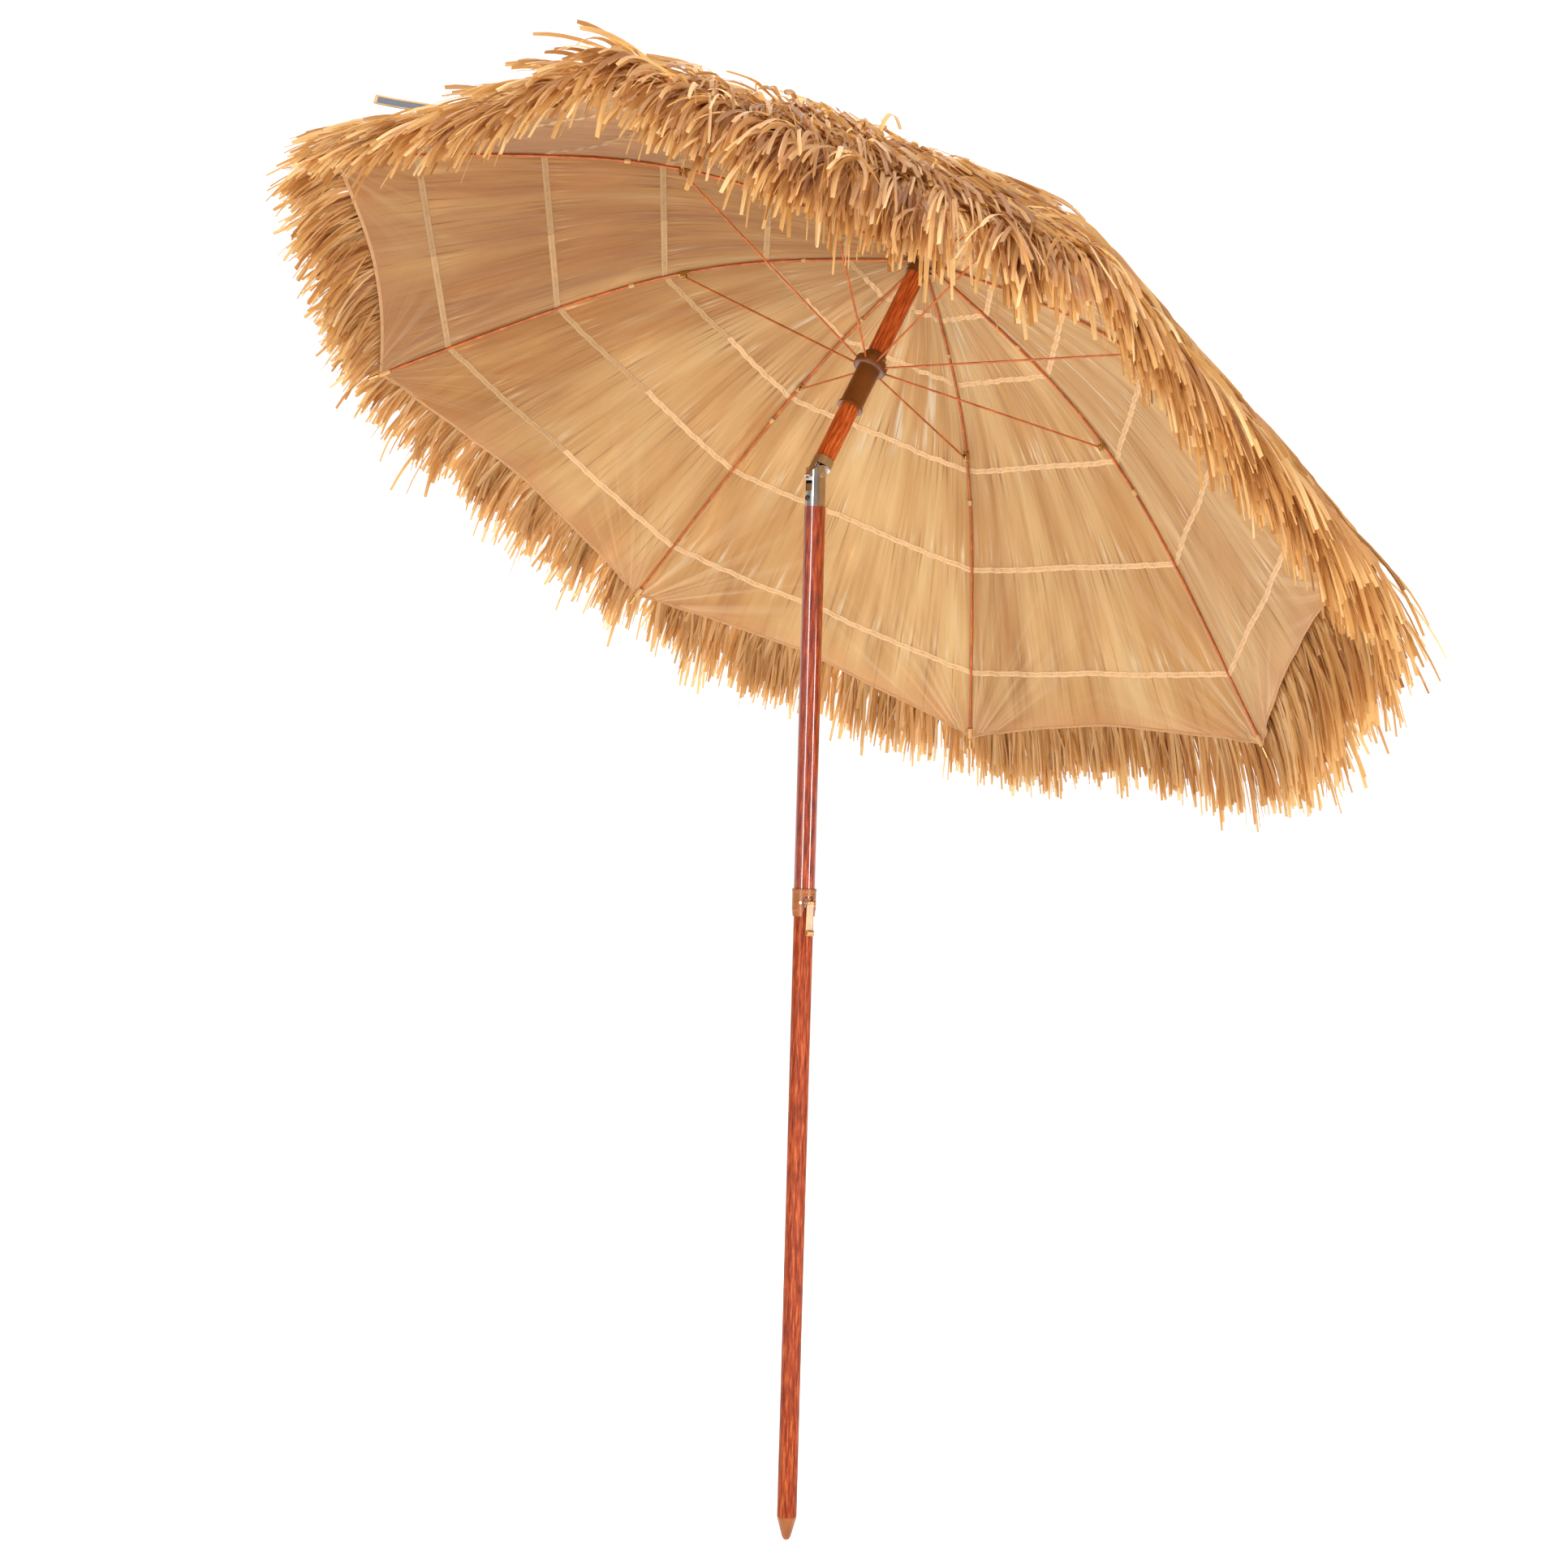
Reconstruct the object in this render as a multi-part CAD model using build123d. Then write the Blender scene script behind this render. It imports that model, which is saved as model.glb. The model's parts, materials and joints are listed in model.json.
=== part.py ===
"""Thatched beach umbrella, open and tilted, as separate parts.

Row frame: millimetres, +Z up the lower pole, origin where the straight wall of the pole ends above its
ground spike. The canopy leans towards +X about the tilt pivot, whose pin lies along Y.
The canopy is built in a frame of its own, with its origin on the tilt pivot and +Z up the mast.
"""

import math
import os

from build123d import *

# ---- driving dimensions, mm and degrees ----
TILT = 30.45
PIVOT_Z = 1578.0

SPIKE_LENGTH = 36.0
LOWER_R = 15.0
LOWER_LENGTH = 910.0
LOWER_INSIDE_R = 14.84
LOWER_HIDDEN = 160.0
TUBE_WALL = 1.2
MIDDLE_R = 16.1
MIDDLE_BORE_R = 15.3
MIDDLE_BOTTOM = 930.0
MIDDLE_TOP = 1531.0

COLLAR_R = 18.15
COLLAR_HEIGHT = 42.0
LEVER_AZIMUTH = 254.0
LEVER_PIN_X = 21.4
LEVER_PIN_Z = 931.0
LEVER_WIDTH = 11.0
LEVER_LENGTH = 50.0
LEVER_CURL_R = 4.4

SLEEVE_R = 15.2
SLEEVE_BOTTOM = 1509.0
SLOT_WIDTH = 14.6
EAR_R = 15.0
CUP_FLOOR = 15.5
CUP_TOP = 30.0
CUP_R = 16.4
BUTTON_Z = 1543.0

MAST_R = 15.0
MAST_TOP = 398.0
RUNNER_BORE_R = 15.35
RUNNER_BOTTOM = 127.0
RUNNER_TOP = 228.0
STRETCHER_ROOT_R = 24.0
STRETCHER_ROOT_Z = 208.0
NOTCH_ROOT_R = 20.0
NOTCH_ROOT_Z = 409.0

RIBS = 8
RIB_STEP = 360.0 / RIBS
RIB_ONE_AZIMUTH = 114.0
RIB_ROD_R = 2.1
RIB_SLOPE_ROOT = 7.5
RIB_SLOPE_GAIN = 29.0
RIB_BEND_AT = 361.0
RIB_BEND_SPREAD = 110.0
RIB_LENGTH = 945.0
STRETCHER_ROD_R = 1.6
CONNECTOR_AT = 397.0
CONNECTOR_DROP = 7.0
RIVET_R = 0.9
EYE_HOLE_R = 1.45
WIRE_R = 0.8

CLOTH_GAP = 3.2
CLOTH_THICK = 1.0
CLOTH_START = 14.0
SCALLOP = 22.0
PANEL_GAP = 0.4
RING_RADII = (34.0, 130.0, 264.0, 427.0, 589.0, 749.0)
THATCH_THICK = 1.6
THATCH_ROOT_GAP = 0.9
THATCH_FLARE = 40.0
THATCH_OVERLAP = 55.0
FRINGE_LENGTH = 245.0


def cyl(r, z0, z1):
    """A cylinder about Z from z0 to z1."""
    return Pos(0, 0, (z0 + z1) / 2) * Cylinder(r, z1 - z0)


def block(x0, x1, y0, y1, z0, z1):
    """A box given by its two corners."""
    return Pos((x0 + x1) / 2, (y0 + y1) / 2, (z0 + z1) / 2) * Box(x1 - x0, y1 - y0, z1 - z0)


def cross_pin(r, x, z, y0, y1):
    """A cylinder along Y through (x, z)."""
    return Pos(x, (y0 + y1) / 2, z) * Rot(90, 0, 0) * Cylinder(r, y1 - y0)


def turned(points):
    """A solid of revolution about Z from (radius, z) points."""
    face = make_face(Polyline(*[(r, 0, z) for r, z in points], close=True))
    return revolve(face, Axis.Z)


def bar(x0, z0, x1, z1, r):
    """A round bar in the XZ plane between two points."""
    run = Vector(x1 - x0, 0, z1 - z0)
    plane = Plane(origin=(x0, 0, z0), z_dir=run)
    return plane * Pos(0, 0, run.length / 2) * Cylinder(r, run.length)


# ---- the rib's line: its slope grows smoothly from the notch to the tip ----
def slope(s):
    """Downward slope in radians at the distance s along the rib."""
    share = 1.0 / (1.0 + math.exp(-(min(s, RIB_LENGTH) - RIB_BEND_AT) / RIB_BEND_SPREAD))
    return math.radians(RIB_SLOPE_ROOT + RIB_SLOPE_GAIN * share)


def rib_point(s):
    """(radius, z) at the distance s along the rib's centreline."""
    r, z = NOTCH_ROOT_R, NOTCH_ROOT_Z
    steps = max(1, round(s / 5.0))
    ds = s / steps
    for i in range(steps):
        a = slope((i + 0.5) * ds)
        r += ds * math.cos(a)
        z -= ds * math.sin(a)
    return r, z


def rib_offset(s, up):
    """(radius, z) at the distance s along the rib and up from its centreline."""
    r, z = rib_point(s)
    return r + up * math.sin(slope(s)), z + up * math.cos(slope(s))


def along_at(radius):
    """The distance along the rib at which it reaches a radius."""
    lo, hi = 0.0, RIB_LENGTH + 300.0
    for _ in range(40):
        mid = (lo + hi) / 2
        if rib_point(mid)[0] < radius:
            lo = mid
        else:
            hi = mid
    return lo


CONNECTOR_S = along_at(CONNECTOR_AT)


def panel_solid(outline, cutter=None):
    """A gore made of the two half panels beside one rib, from its (radius, z) outline in the rib's plane.

    A panel is flat from rib to rib, so each half is the outline extruded along the chord between two ribs.
    """
    half = math.radians(RIB_STEP / 2)
    along_chord = Vector(-math.sin(half), math.cos(half), 0)
    panel_middle = (math.cos(half), math.sin(half), 0)
    mid_panel = Plane(origin=along_chord * -PANEL_GAP, x_dir=panel_middle, z_dir=-along_chord)
    points = [mid_panel.from_local_coords(Vector(r * math.cos(half), z, 0)) for r, z in outline]
    face = make_face(Polyline(*points, close=True))
    side = extrude(face, amount=430, dir=-along_chord)
    side &= block(0, 1400, 0, 900, -600, 900)
    if cutter is not None:
        side -= cutter
    return (side + mirror(side, Plane.XZ)).solid()


def stations(s0, s1, count):
    """Distances evenly spread from s0 to s1."""
    return [s0 + (s1 - s0) * i / (count - 1) for i in range(count)]


# ---- pole ----
def ground_spike():
    tip = turned([
        (0, -SPIKE_LENGTH), (4.5, -SPIKE_LENGTH + 1.5), (7.0, -SPIKE_LENGTH + 6),
        (14.6, -3), (15.0, -0.05), (0, -0.05),
    ])
    plug = cyl(LOWER_R - TUBE_WALL - 0.05, -0.05, 24)
    return tip + plug


def lower_pole():
    shape = cyl(LOWER_R, 0, LOWER_LENGTH)
    shape += cyl(LOWER_INSIDE_R, LOWER_LENGTH, LOWER_LENGTH + LOWER_HIDDEN)
    return shape - cyl(LOWER_R - TUBE_WALL, -1, LOWER_LENGTH + LOWER_HIDDEN + 1)


def lower_pole_plug():
    top = LOWER_LENGTH + LOWER_HIDDEN
    inside = cyl(LOWER_R - TUBE_WALL - 0.05, top - 20, top)
    guide = cyl(LOWER_INSIDE_R, top + 0.05, top + 10)
    return inside + guide + cyl(12, top, top + 0.05)


def middle_pole():
    return cyl(MIDDLE_R, MIDDLE_BOTTOM, MIDDLE_TOP) - cyl(MIDDLE_BORE_R, MIDDLE_BOTTOM - 1, MIDDLE_TOP + 1)


def at_lever(shape):
    return Rot(0, 0, LEVER_AZIMUTH) * shape


def height_collar():
    bottom, top = LOWER_LENGTH, LOWER_LENGTH + COLLAR_HEIGHT
    wall = [
        (15.45, bottom), (17.0, bottom), (17.6, bottom + 8), (COLLAR_R, bottom + 10), (COLLAR_R, top - 6),
        (COLLAR_R + 0.6, top - 4), (COLLAR_R + 0.6, top - 1), (COLLAR_R, top), (16.2, top),
        (16.2, MIDDLE_BOTTOM - 0.1), (15.45, MIDDLE_BOTTOM - 0.1),
    ]
    shape = turned(wall)
    cheek = LEVER_WIDTH / 2 + 0.5
    for side in (-1, 1):
        y0, y1 = sorted((side * cheek, side * (cheek + 2.6)))
        ear = block(16.6, LEVER_PIN_X, y0, y1, LEVER_PIN_Z - 7, LEVER_PIN_Z + 5)
        ear += cross_pin(3.4, LEVER_PIN_X, LEVER_PIN_Z, y0, y1)
        shape += at_lever(ear)
    window = block(14, 30, -cheek, cheek, LEVER_PIN_Z - 8, MIDDLE_BOTTOM - 0.1)
    window += block(16.25, 30, -cheek, cheek, LEVER_PIN_Z - 8, LEVER_PIN_Z + 4.3)
    window += block(14, 30, -6.2, 6.2, LEVER_PIN_Z + 7.0, LEVER_PIN_Z + 9.6)
    outline = Polyline((-6, 928), (6, 928), (10, bottom - 1), (-10, bottom - 1), close=True)
    notch = Plane.YZ * make_face(outline)
    window += Pos(12, 0, 0) * extrude(notch, amount=18)
    shape -= at_lever(window)
    shape -= at_lever(cross_pin(1.52, LEVER_PIN_X, LEVER_PIN_Z, -20, 20))
    shape -= cyl(16.2, MIDDLE_BOTTOM - 0.1, top + 1)
    shape -= cyl(15.45, bottom - 1, MIDDLE_BOTTOM)
    hole = Rot(0, 0, 213) * Pos(COLLAR_R, 0, LEVER_PIN_Z) * Rot(0, 90, 0) * Cylinder(1.3, 4.2)
    return shape - hole


def collar_screw():
    head = Pos(COLLAR_R + 0.5, 0, LEVER_PIN_Z) * Rot(0, 90, 0) * Cylinder(1.9, 1.2)
    shank = Pos(COLLAR_R - 0.7, 0, LEVER_PIN_Z) * Rot(0, 90, 0) * Cylinder(1.2, 1.6)
    head -= cyl(COLLAR_R + 0.02, LEVER_PIN_Z - 5, LEVER_PIN_Z + 5)
    slot = block(COLLAR_R + 0.7, COLLAR_R + 3, -0.35, 0.35, LEVER_PIN_Z - 3, LEVER_PIN_Z + 3)
    return Rot(0, 0, 213) * (head + shank - slot)


def lever_pin():
    reach = LEVER_WIDTH / 2 + 3.6
    pin = cross_pin(1.5, LEVER_PIN_X, LEVER_PIN_Z, -reach, reach)
    for side in (-1, 1):
        y0, y1 = sorted((side * (LEVER_WIDTH / 2 + 3.15), side * reach))
        pin += cross_pin(2.4, LEVER_PIN_X, LEVER_PIN_Z, y0, y1)
    return at_lever(pin)


def lock_lever():
    half = LEVER_WIDTH / 2
    x, z = LEVER_PIN_X, LEVER_PIN_Z
    barrel = cross_pin(3.3, x, z, -half, half)
    foot = z - LEVER_LENGTH + LEVER_CURL_R
    side = Polyline((x + 0.4, 0, z), (x + 2.4, 0, z), (x - 0.4, 0, foot), (x - 2.4, 0, foot), close=True)
    plate = Pos(0, half, 0) * extrude(make_face(side), amount=LEVER_WIDTH, dir=(0, -1, 0))
    ring = Cylinder(LEVER_CURL_R, LEVER_WIDTH) - Cylinder(LEVER_CURL_R - 2.0, LEVER_WIDTH + 2)
    curl = Pos(x - 2.4 + LEVER_CURL_R, 0, foot) * Rot(90, 0, 0) * ring
    curl -= block(x - 9, x - 2.4 + LEVER_CURL_R, -half - 2, half + 2, foot, foot + 9)
    shape = barrel + plate + curl
    return at_lever(shape - cross_pin(1.58, x, z, -half - 1, half + 1))


def lock_shoe():
    shoe = block(14, 17.6, -4.6, 4.6, LEVER_PIN_Z - 7, MIDDLE_BOTTOM - 1.2)
    return at_lever(shoe - cyl(15.42, 900, 960))


# ---- tilt joint ----
def tilt_lower_sleeve():
    shape = cyl(SLEEVE_R, SLEEVE_BOTTOM, PIVOT_Z) - cyl(13.0, SLEEVE_BOTTOM - 1, BUTTON_Z - 8)
    ears = cross_pin(EAR_R, 0, PIVOT_Z, -SLEEVE_R, SLEEVE_R) & cyl(SLEEVE_R, PIVOT_Z - 20, PIVOT_Z + 20)
    shape += ears
    shape -= block(-30, 30, -SLOT_WIDTH / 2, SLOT_WIDTH / 2, PIVOT_Z - 24, PIVOT_Z + 40)
    shape -= cross_pin(3.05, 0, PIVOT_Z, -30, 30)
    return shape - Pos(-10, 0, BUTTON_Z) * Rot(0, 90, 0) * Cylinder(4.4, 14)


def tilt_button():
    button = fillet(Cylinder(4.0, 12.0).edges().sort_by(Axis.Z)[0], 1.2)
    return Pos(-12.2, 0, BUTTON_Z) * Rot(0, 90, 0) * button


def tilt_pivot_pin():
    pin = cross_pin(3.0, 0, PIVOT_Z, -SLEEVE_R - 0.05, SLEEVE_R + 0.05)
    for side in (-1, 1):
        y0, y1 = sorted((side * (SLEEVE_R + 0.05), side * (SLEEVE_R + 0.8)))
        pin += cross_pin(3.8, 0, PIVOT_Z, y0, y1)
    return pin


def tilt_upper_sleeve():
    cup = cyl(CUP_R, CUP_FLOOR, CUP_TOP) - cyl(MAST_R + 0.05, CUP_FLOOR + 3, CUP_TOP + 1)
    half = SLOT_WIDTH / 2 - 0.35
    tongue = cross_pin(11.0, 0, 0, -half, half) + block(-11, 11, -half, half, 0, CUP_FLOOR + 1)
    flap = cyl(CUP_R, -10, CUP_FLOOR + 1) - cyl(CUP_R - 1.8, -11, CUP_FLOOR + 2)
    flap &= block(-30, 0, -half + 0.3, half - 0.3, -10, CUP_FLOOR + 1)
    return cup + tongue + flap - cross_pin(3.08, 0, 0, -20, 20)


def mast():
    return cyl(MAST_R, CUP_FLOOR + 3.05, MAST_TOP) - cyl(MAST_R - TUBE_WALL, CUP_FLOOR, MAST_TOP + 1)


# ---- runner and notch: slotted flanges with a wire ring as the ribs' hinge pin ----
def slotted(shape, slot_width, inner_r, floor):
    """A flange with a radial slot for each rib, open above floor."""
    for i in range(RIBS):
        slot = block(inner_r, inner_r + 40, -slot_width / 2, slot_width / 2, floor, 1000)
        shape -= Rot(0, 0, RIB_ONE_AZIMUTH - i * RIB_STEP) * slot
    return shape


def runner():
    z = STRETCHER_ROOT_Z
    flange = turned([
        (17, z - 9), (22.5, z - 9), (25.4, z - 7.4),
        (26.6, z - 4.4), (26.6, z + 5), (17, z + 5),
    ])
    flange -= turned([(22.9, z - 1.2), (25.1, z - 1.2), (25.1, z + 10), (22.9, z + 10)])
    flange = slotted(flange, 4.8, 18.6, z - 3.4)
    lip = RUNNER_BOTTOM
    body = turned([
        (RUNNER_BORE_R, lip), (20.4, lip), (20.4, lip + 3.5), (18.4, lip + 7),
        (18.0, lip + 30), (18.0, RUNNER_TOP - 1.5),
        (17.0, RUNNER_TOP), (RUNNER_BORE_R, RUNNER_TOP),
    ])
    return body + flange


def wire_ring(radius, z):
    ring = Pos(0, 0, z) * Torus(radius, WIRE_R)
    return ring


def runner_ring():
    a = RIB_ONE_AZIMUTH - 4.5 * RIB_STEP
    tail = Rot(0, 0, a) * Pos(STRETCHER_ROOT_R, 0, STRETCHER_ROOT_Z + 4.5) * Cylinder(0.8 * WIRE_R, 9)
    return wire_ring(STRETCHER_ROOT_R, STRETCHER_ROOT_Z) + tail


def top_notch():
    z = NOTCH_ROOT_Z
    flange = turned([(16, z - 8), (22, z - 8), (26, z - 4), (26, z + 5), (16, z + 5)])
    flange -= turned([(18.9, z - 1.2), (21.1, z - 1.2), (21.1, z + 10), (18.9, z + 10)])
    flange = slotted(flange, 4.8, 17.3, z - 20)
    hub = cyl(17.2, z - 26, z + 6) - cyl(MAST_R + 0.05, z - 27, MAST_TOP + 0.1)
    return hub + flange - cyl(3.0, MAST_TOP, z + 10)


def top_cap():
    z = NOTCH_ROOT_Z + 6.1
    cap = turned([
        (0, z), (22, z), (23, z + 1.5), (20, z + 4),
        (9, z + 8), (8, z + 14), (5, z + 18), (0, z + 19),
    ])
    return cap + cyl(2.9, z - 9, z)


# ---- ribs and stretchers, built along +X ----
def rib():
    points = [rib_point(s) for s in stations(2.2, RIB_LENGTH, 16)]
    path = Spline(*[(r, 0, z) for r, z in points])
    start = Plane(origin=path @ 0, z_dir=path % 0)
    rod = sweep(start * Circle(RIB_ROD_R), path=path)
    eye = cross_pin(2.6, NOTCH_ROOT_R, NOTCH_ROOT_Z, -1.9, 1.9)
    return rod + eye - cross_pin(EYE_HOLE_R - 0.1, NOTCH_ROOT_R, NOTCH_ROOT_Z, -4, 4)


def rivet_point():
    return rib_offset(CONNECTOR_S, -CONNECTOR_DROP)


def rib_fittings():
    r, z = rib_point(CONNECTOR_S)
    lean = Pos(r, 0, z) * Rot(0, math.degrees(slope(CONNECTOR_S)), 0)
    grip = block(-8, 8, -3.6, 3.6, -4.6, 1.2)
    grip -= Rot(0, 90, 0) * Cylinder(2.45, 30)
    grip -= block(-9, 9, -2.6, 2.6, -10, -3.6)
    for side in (-1, 1):
        y0, y1 = sorted((side * 2.6, side * 3.6))
        grip += block(-5, 5, y0, y1, -CONNECTOR_DROP - 2.6, -4)
    grip += Pos(0, 0, -CONNECTOR_DROP) * Rot(90, 0, 0) * Cylinder(RIVET_R, 6.8)
    r1, z1 = rib_point(RIB_LENGTH)
    end = Pos(r1, 0, z1) * Rot(0, 90 + math.degrees(slope(RIB_LENGTH)), 0)
    tip = Pos(0, 0, -2) * Cylinder(2.6, 16) + Pos(0, 0, 6) * Sphere(3.1)
    tip -= Pos(0, 0, -6) * Cylinder(RIB_ROD_R + 0.08, 12.4)
    return Compound(children=[*(lean * grip).solids(), *(end * tip).solids()])


def stretcher():
    x0, z0 = STRETCHER_ROOT_R, STRETCHER_ROOT_Z
    x1, z1 = rivet_point()
    run = math.hypot(x1 - x0, z1 - z0)
    ux, uz = (x1 - x0) / run, (z1 - z0) / run
    shape = bar(x0 + 2.2 * ux, z0 + 2.2 * uz, x1 - 2.2 * ux, z1 - 2.2 * uz, STRETCHER_ROD_R)
    for x, z in ((x0, z0), (x1, z1)):
        shape += cross_pin(2.7, x, z, -1.6, 1.6)
        shape -= cross_pin(EYE_HOLE_R, x, z, -4, 4)
    return shape


# ---- cloth and thatch, one gore per rib, built along +X ----
def canopy_gore():
    line = stations(CLOTH_START, RIB_LENGTH - 12.0, 18)
    below = [rib_offset(s, CLOTH_GAP) for s in line]
    above = [rib_offset(s, CLOTH_GAP + CLOTH_THICK) for s in line]
    half = math.radians(RIB_STEP / 2)
    tip_r = rib_point(RIB_LENGTH)[0]
    edge = tip_r * math.cos(half) - SCALLOP
    chord = tip_r * math.sin(half)
    scallop_r = (chord**2 + SCALLOP**2) / (2 * SCALLOP)
    reach = edge + scallop_r
    cutter = Pos(reach * math.cos(half), reach * math.sin(half), 0) * Cylinder(scallop_r, 1500)
    return panel_solid(below + above[::-1], cutter)


def thatch_tier(s0, s1):
    """One row of thatch: a thin skirt that starts on the cloth and flares away from it."""
    base = CLOTH_GAP + CLOTH_THICK + THATCH_ROOT_GAP
    line = stations(s0, s1, 4)
    lift = [base + THATCH_FLARE * ((s - s0) / FRINGE_LENGTH) for s in line]
    below = [rib_offset(s, up) for s, up in zip(line, lift)]
    above = [rib_offset(s, up + THATCH_THICK) for s, up in zip(line, lift)]
    return panel_solid(below + above[::-1])


def thatch_gore():
    rows = [along_at(r) for r in RING_RADII]
    ends = [s + THATCH_OVERLAP for s in rows[1:]] + [rows[-1] + FRINGE_LENGTH]
    return Compound(children=[thatch_tier(s0, s1) for s0, s1 in zip(rows, ends)])


def tie_strap():
    """A short webbing strap that lies on the thatch of one gore and stands up at its end."""
    s0 = along_at(RING_RADII[-1]) + 30.0
    lift = [(s0 + 20.0 * i, 16.0 + 4.0 * i) for i in range(6)] + [(s0 + 112.0, 46.0)]
    below = [rib_offset(s, up) for s, up in lift]
    above = [rib_offset(s, up + 1.4) for s, up in lift]
    face = make_face(Polyline(*[(r, 0, z) for r, z in below + above[::-1]], close=True))
    strap = Pos(0, 13, 0) * extrude(face, amount=26, dir=(0, -1, 0))
    return Rot(0, 0, 11.0) * strap


def tilted(shape):
    return Pos(0, 0, PIVOT_Z) * Rot(0, TILT, 0) * shape


def write(shape, name):
    export_step(shape, f"parts/{name}.step")


os.makedirs("parts", exist_ok=True)
UPRIGHT = (
    ground_spike, lower_pole, lower_pole_plug, middle_pole, height_collar, collar_screw,
    lever_pin, lock_lever, lock_shoe, tilt_lower_sleeve, tilt_button, tilt_pivot_pin,
)
for make in UPRIGHT:
    write(make(), make.__name__)
for make in (tilt_upper_sleeve, mast, runner, runner_ring, top_notch, top_cap):
    write(tilted(make()), make.__name__)
write(tilted(wire_ring(NOTCH_ROOT_R, NOTCH_ROOT_Z)), "notch_ring")
for make in (rib, rib_fittings, stretcher, canopy_gore, thatch_gore):
    shape = make()
    for i in range(RIBS):
        azimuth = RIB_ONE_AZIMUTH - i * RIB_STEP
        write(tilted(Rot(0, 0, azimuth) * shape), f"{make.__name__}_{i + 1}")
write(tilted(Rot(0, 0, RIB_ONE_AZIMUTH - 7 * RIB_STEP) * tie_strap()), "tie_strap")
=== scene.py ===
"""Looks for the thatched beach umbrella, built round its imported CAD."""

import math

import bpy
import numpy as np
from mathutils import Matrix, Vector
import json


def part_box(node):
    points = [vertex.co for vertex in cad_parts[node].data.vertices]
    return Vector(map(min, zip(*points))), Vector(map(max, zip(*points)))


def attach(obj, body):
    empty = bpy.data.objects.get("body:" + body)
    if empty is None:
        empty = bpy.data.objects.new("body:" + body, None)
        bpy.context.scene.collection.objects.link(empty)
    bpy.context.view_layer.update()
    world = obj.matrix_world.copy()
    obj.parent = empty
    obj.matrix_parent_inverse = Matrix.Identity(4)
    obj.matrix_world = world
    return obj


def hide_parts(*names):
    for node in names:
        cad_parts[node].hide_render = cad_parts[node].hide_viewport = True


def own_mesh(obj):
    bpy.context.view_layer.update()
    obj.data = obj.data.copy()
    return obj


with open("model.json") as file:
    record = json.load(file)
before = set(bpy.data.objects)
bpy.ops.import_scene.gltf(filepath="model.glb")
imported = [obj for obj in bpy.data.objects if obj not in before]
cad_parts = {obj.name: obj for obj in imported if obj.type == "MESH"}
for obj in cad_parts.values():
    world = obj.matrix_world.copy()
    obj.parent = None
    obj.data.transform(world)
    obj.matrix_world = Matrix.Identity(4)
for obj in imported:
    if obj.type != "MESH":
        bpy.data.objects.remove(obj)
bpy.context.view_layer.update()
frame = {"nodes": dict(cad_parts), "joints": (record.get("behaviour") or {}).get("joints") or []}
NODES = frame["nodes"]
JOINTS = {j["name"]: j for j in frame["joints"]}
SCENE = bpy.context.scene
RNG = np.random.default_rng(41)

# ---- the canopy's own frame: origin on the tilt pivot, Z up the mast, X the way it leans ----
PIVOT = np.array(JOINTS["tilt_hinge"]["pos_m"])
AXIS_Z = -np.array(JOINTS["runner_slide"]["axis"])
AXIS_Y = np.array([0.0, 1.0, 0.0])
AXIS_X = np.cross(AXIS_Y, AXIS_Z)
BASIS = np.stack([AXIS_X, AXIS_Y, AXIS_Z], axis=1)
TILT = math.atan2(AXIS_Z[0], AXIS_Z[2])
DOWN = np.array([0.0, 0.0, -1.0]) @ BASIS


def to_row(points):
    """Canopy-frame points in the row frame."""
    return np.asarray(points) @ BASIS.T + PIVOT


def to_canopy(points):
    """Row-frame points in the canopy's frame."""
    return (np.asarray(points) - PIVOT) @ BASIS


RIBS = 8
HALF = math.pi / RIBS
RIB_ROOTS = [to_canopy(JOINTS[f"rib_hinge_{k}"]["pos_m"]) for k in range(1, RIBS + 1)]
RIB_AZIMUTHS = [math.atan2(p[1], p[0]) for p in RIB_ROOTS]
ROOT_R = float(np.hypot(*RIB_ROOTS[0][:2]))
ROOT_Z = float(RIB_ROOTS[0][2])

# ---- the rib's line, whose slope grows smoothly from root to tip as in the CAD ----
RIB_LENGTH = 0.945
SLOPE_ROOT = math.radians(7.5)
SLOPE_GAIN = math.radians(29.0)
BEND_AT = 0.361
BEND_SPREAD = 0.110
LINE_STEP = 0.001
LINE_S = np.linspace(0.0, 1.4, 1401)
BENT = (np.minimum(LINE_S, RIB_LENGTH) - BEND_AT) / BEND_SPREAD
LINE_SLOPE = SLOPE_ROOT + SLOPE_GAIN / (1 + np.exp(-BENT))
MID_SLOPE = (LINE_SLOPE[1:] + LINE_SLOPE[:-1]) / 2
LINE_R = ROOT_R + np.concatenate([[0], np.cumsum(np.cos(MID_SLOPE) * LINE_STEP)])
LINE_Z = ROOT_Z - np.concatenate([[0], np.cumsum(np.sin(MID_SLOPE) * LINE_STEP)])

# ---- the cloth's height over the rib's line, its edge, and the radii of the tape rings ----
CLOTH_UP = 0.0037
EDGE_INSET = 0.012
SCALLOP = 0.027
EDGE_MARGIN = 0.004
RING_RADII = (0.034, 0.130, 0.264, 0.427, 0.589, 0.749)


def rib_line(s, up=0.0):
    """Radius and height at the distance s along a rib, and up from it."""
    slope = np.interp(s, LINE_S, LINE_SLOPE)
    radius = np.interp(s, LINE_S, LINE_R) + up * np.sin(slope)
    height = np.interp(s, LINE_S, LINE_Z) + up * np.cos(slope)
    return radius, height


def along_at(radius):
    """The distance along a rib at which it reaches a radius."""
    return float(np.interp(radius, LINE_R, LINE_S))


RING_S = [along_at(r) for r in RING_RADII]


def chord(offset):
    """The share of the rib's radius that a flat panel has at an azimuth offset from the rib."""
    return math.cos(HALF) / np.cos(HALF - np.abs(offset))


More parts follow.
